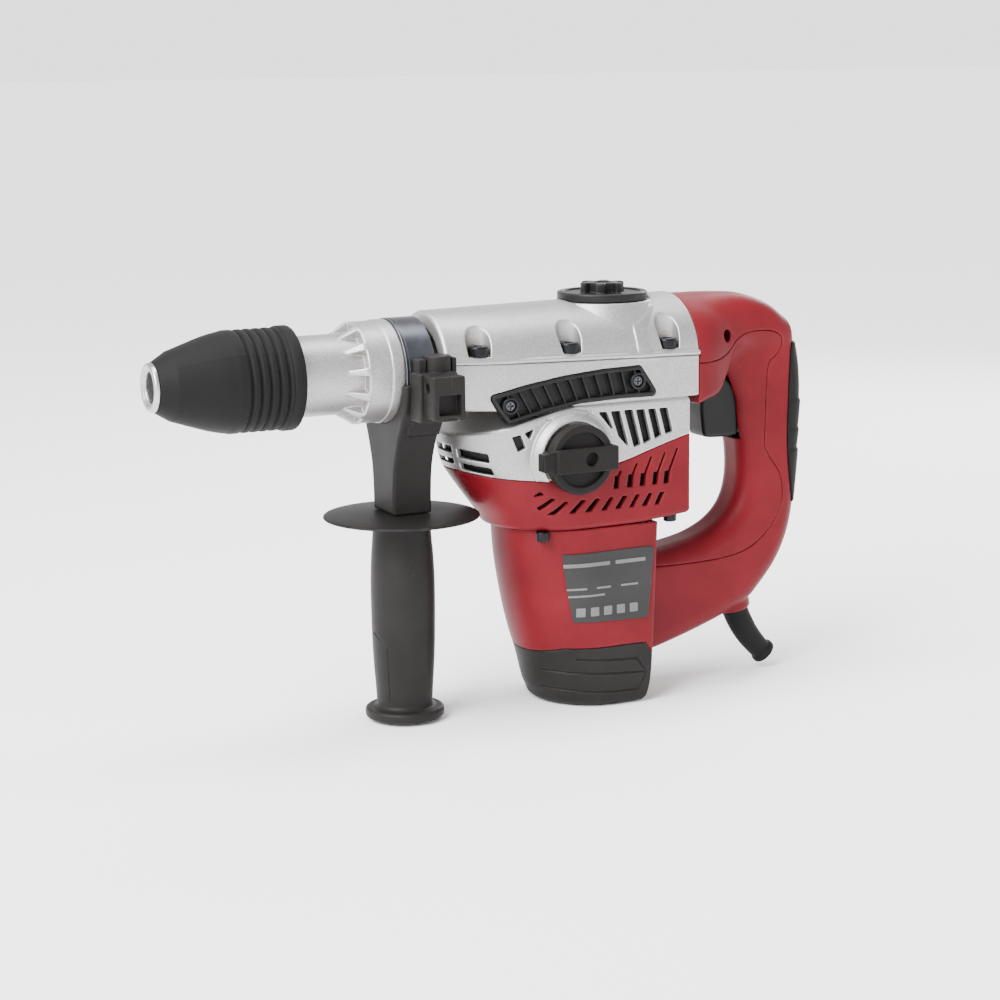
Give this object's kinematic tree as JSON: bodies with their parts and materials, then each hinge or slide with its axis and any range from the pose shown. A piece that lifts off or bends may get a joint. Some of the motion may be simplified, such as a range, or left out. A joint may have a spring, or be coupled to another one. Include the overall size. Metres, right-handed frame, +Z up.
{
  "type": "rotary hammer",
  "caption": "Corded rotary hammer with a sprung bit chuck, side handle, D-handle, mode knob and an upright motor driving a crank hammer and a geared spindle.",
  "frame": {"origin": "on the motor axis, at the flat end of the motor cap, which the tool stands on", "axes": "+Z up along the motor axis; -X along the tool axis towards the chuck; +X towards the D-handle; -Y is the side with the mode knob"},
  "size_m": [0.4638, 0.1154, 0.276],
  "materials": {
    "cast_alloy": "speckled die-cast alloy with a satin lacquer",
    "red_plastic": "fine-grained moulded nylon",
    "dark_plastic": "fine-grained moulded nylon",
    "black_plastic": "moulded nylon",
    "soft_rubber": "matt overmoulded rubber",
    "plate": "printed foil",
    "steel": "turned and ground",
    "black_steel": "blackened",
    "copper": "bare",
    "lamination": "stacked sheet"
  },
  "bodies": {
    "housing": {"gear_case": "cast_alloy", "case_cover": "cast_alloy", "front_housing": "cast_alloy", "mid_sleeve": "red_plastic", "motor_housing": "red_plastic", "motor_cap": "dark_plastic", "rating_plate": "plate", "vent_grille_left": "black_plastic", "vent_grille_right": "black_plastic", "handle_housing": "red_plastic", "handle_cover": "red_plastic", "handle_pad": "soft_rubber", "handle_screw": "black_steel", "cord_guard": "soft_rubber", "switch_module": "black_plastic", "oil_cap": "black_plastic", "stator": "lamination", "lower_bearing": "steel", "upper_bearing": "steel", "brush_holder_front": "copper", "brush_holder_rear": "copper", "gear_plate": "cast_alloy", "bearing_bridge": "cast_alloy", "spindle_rear_bearing": "steel", "spindle_front_bearing": "steel", "case_screw_front_left": "black_steel", "case_screw_front_right": "black_steel", "case_screw_middle_left": "black_steel", "case_screw_middle_right": "black_steel", "case_screw_rear_left": "black_steel", "case_screw_rear_right": "black_steel", "sleeve_bolt_front_left": "black_steel", "sleeve_bolt_front_right": "black_steel", "sleeve_bolt_rear_left": "black_steel", "sleeve_bolt_rear_right": "black_steel"},
    "armature": {"armature_shaft": "steel", "armature_core": "lamination", "commutator": "copper", "cooling_fan": "black_plastic"},
    "crank": {"crank_gear": "steel", "crankshaft": "steel"},
    "intermediate": {"intermediate_shaft": "steel"},
    "spindle": {"cylinder": "steel", "crown_gear": "steel", "tool_holder": "steel", "nose_ring": "steel"},
    "chuck": {"chuck_boot": "soft_rubber", "release_sleeve": "steel"},
    "piston": {"piston": "cast_alloy", "wrist_pin": "steel"},
    "rod": {"connecting_rod": "cast_alloy"},
    "striker": {"striker": "steel"},
    "impact_bolt": {"impact_bolt": "steel"},
    "mode_knob": {"mode_knob": "dark_plastic"},
    "trigger": {"trigger": "black_plastic"},
    "side_handle": {"clamp_band": "black_steel", "handle_bracket": "dark_plastic", "depth_stop_block": "dark_plastic", "grip_bolt": "steel"},
    "side_grip": {"side_grip": "dark_plastic"}
  },
  "joints": [
    {"name": "armature_spin", "type": "hinge", "parent": "housing", "child": "armature", "pos_m": [0, 0, 0.1], "axis": [0, 0, 1], "continuous": true},
    {"name": "crank_spin", "type": "hinge", "parent": "housing", "child": "crank", "pos_m": [0.032, 0, 0.174], "axis": [0, 0, 1], "continuous": true},
    {"name": "intermediate_spin", "type": "hinge", "parent": "housing", "child": "intermediate", "pos_m": [-0.03446, 0, 0.174], "axis": [0, 0, 1], "continuous": true},
    {"name": "spindle_spin", "type": "hinge", "parent": "housing", "child": "spindle", "pos_m": [-0.1, 0, 0.228], "axis": [1, 0, 0], "continuous": true},
    {"name": "chuck_release", "type": "slide", "parent": "spindle", "child": "chuck", "axis": [1, 0, 0], "range_m": [0, 0.008], "stiffness_N_per_m": 800, "springref_m": -0.006},
    {"name": "piston_stroke", "type": "slide", "parent": "housing", "child": "piston", "axis": [1, 0, 0], "range_m": [0, 0.024]},
    {"name": "rod_swing", "type": "hinge", "parent": "piston", "child": "rod", "pos_m": [-0.04, 0, 0.228], "axis": [0, 0, 1], "range_deg": [-11.5, 11.5]},
    {"name": "striker_flight", "type": "slide", "parent": "housing", "child": "striker", "axis": [-1, 0, 0], "range_m": [0, 0.022]},
    {"name": "impact_bolt_travel", "type": "slide", "parent": "housing", "child": "impact_bolt", "axis": [-1, 0, 0], "range_m": [0, 0.005]},
    {"name": "mode_knob_turn", "type": "hinge", "parent": "housing", "child": "mode_knob", "pos_m": [-0.015, -0.055, 0.17], "axis": [0, -1, 0], "range_deg": [-90, 90]},
    {"name": "trigger_pull", "type": "hinge", "parent": "housing", "child": "trigger", "pos_m": [0.112, 0, 0.205], "axis": [0, -1, 0], "range_deg": [0, 8], "stiffness_Nm_per_rad": 3, "springref_deg": -5.73},
    {"name": "side_handle_swivel", "type": "hinge", "parent": "housing", "child": "side_handle", "pos_m": [-0.115, 0, 0.228], "axis": [1, 0, 0], "continuous": true},
    {"name": "side_grip_turn", "type": "hinge", "parent": "side_handle", "child": "side_grip", "pos_m": [-0.115, 0, 0.1], "axis": [0, 0, 1], "continuous": true}
  ],
  "couplings": [
    {"joint": "crank_spin", "follows": "armature_spin", "ratio": -0.18182},
    {"joint": "intermediate_spin", "follows": "armature_spin", "ratio": -0.16667},
    {"joint": "spindle_spin", "follows": "armature_spin", "ratio": 0.041667}
  ]
}
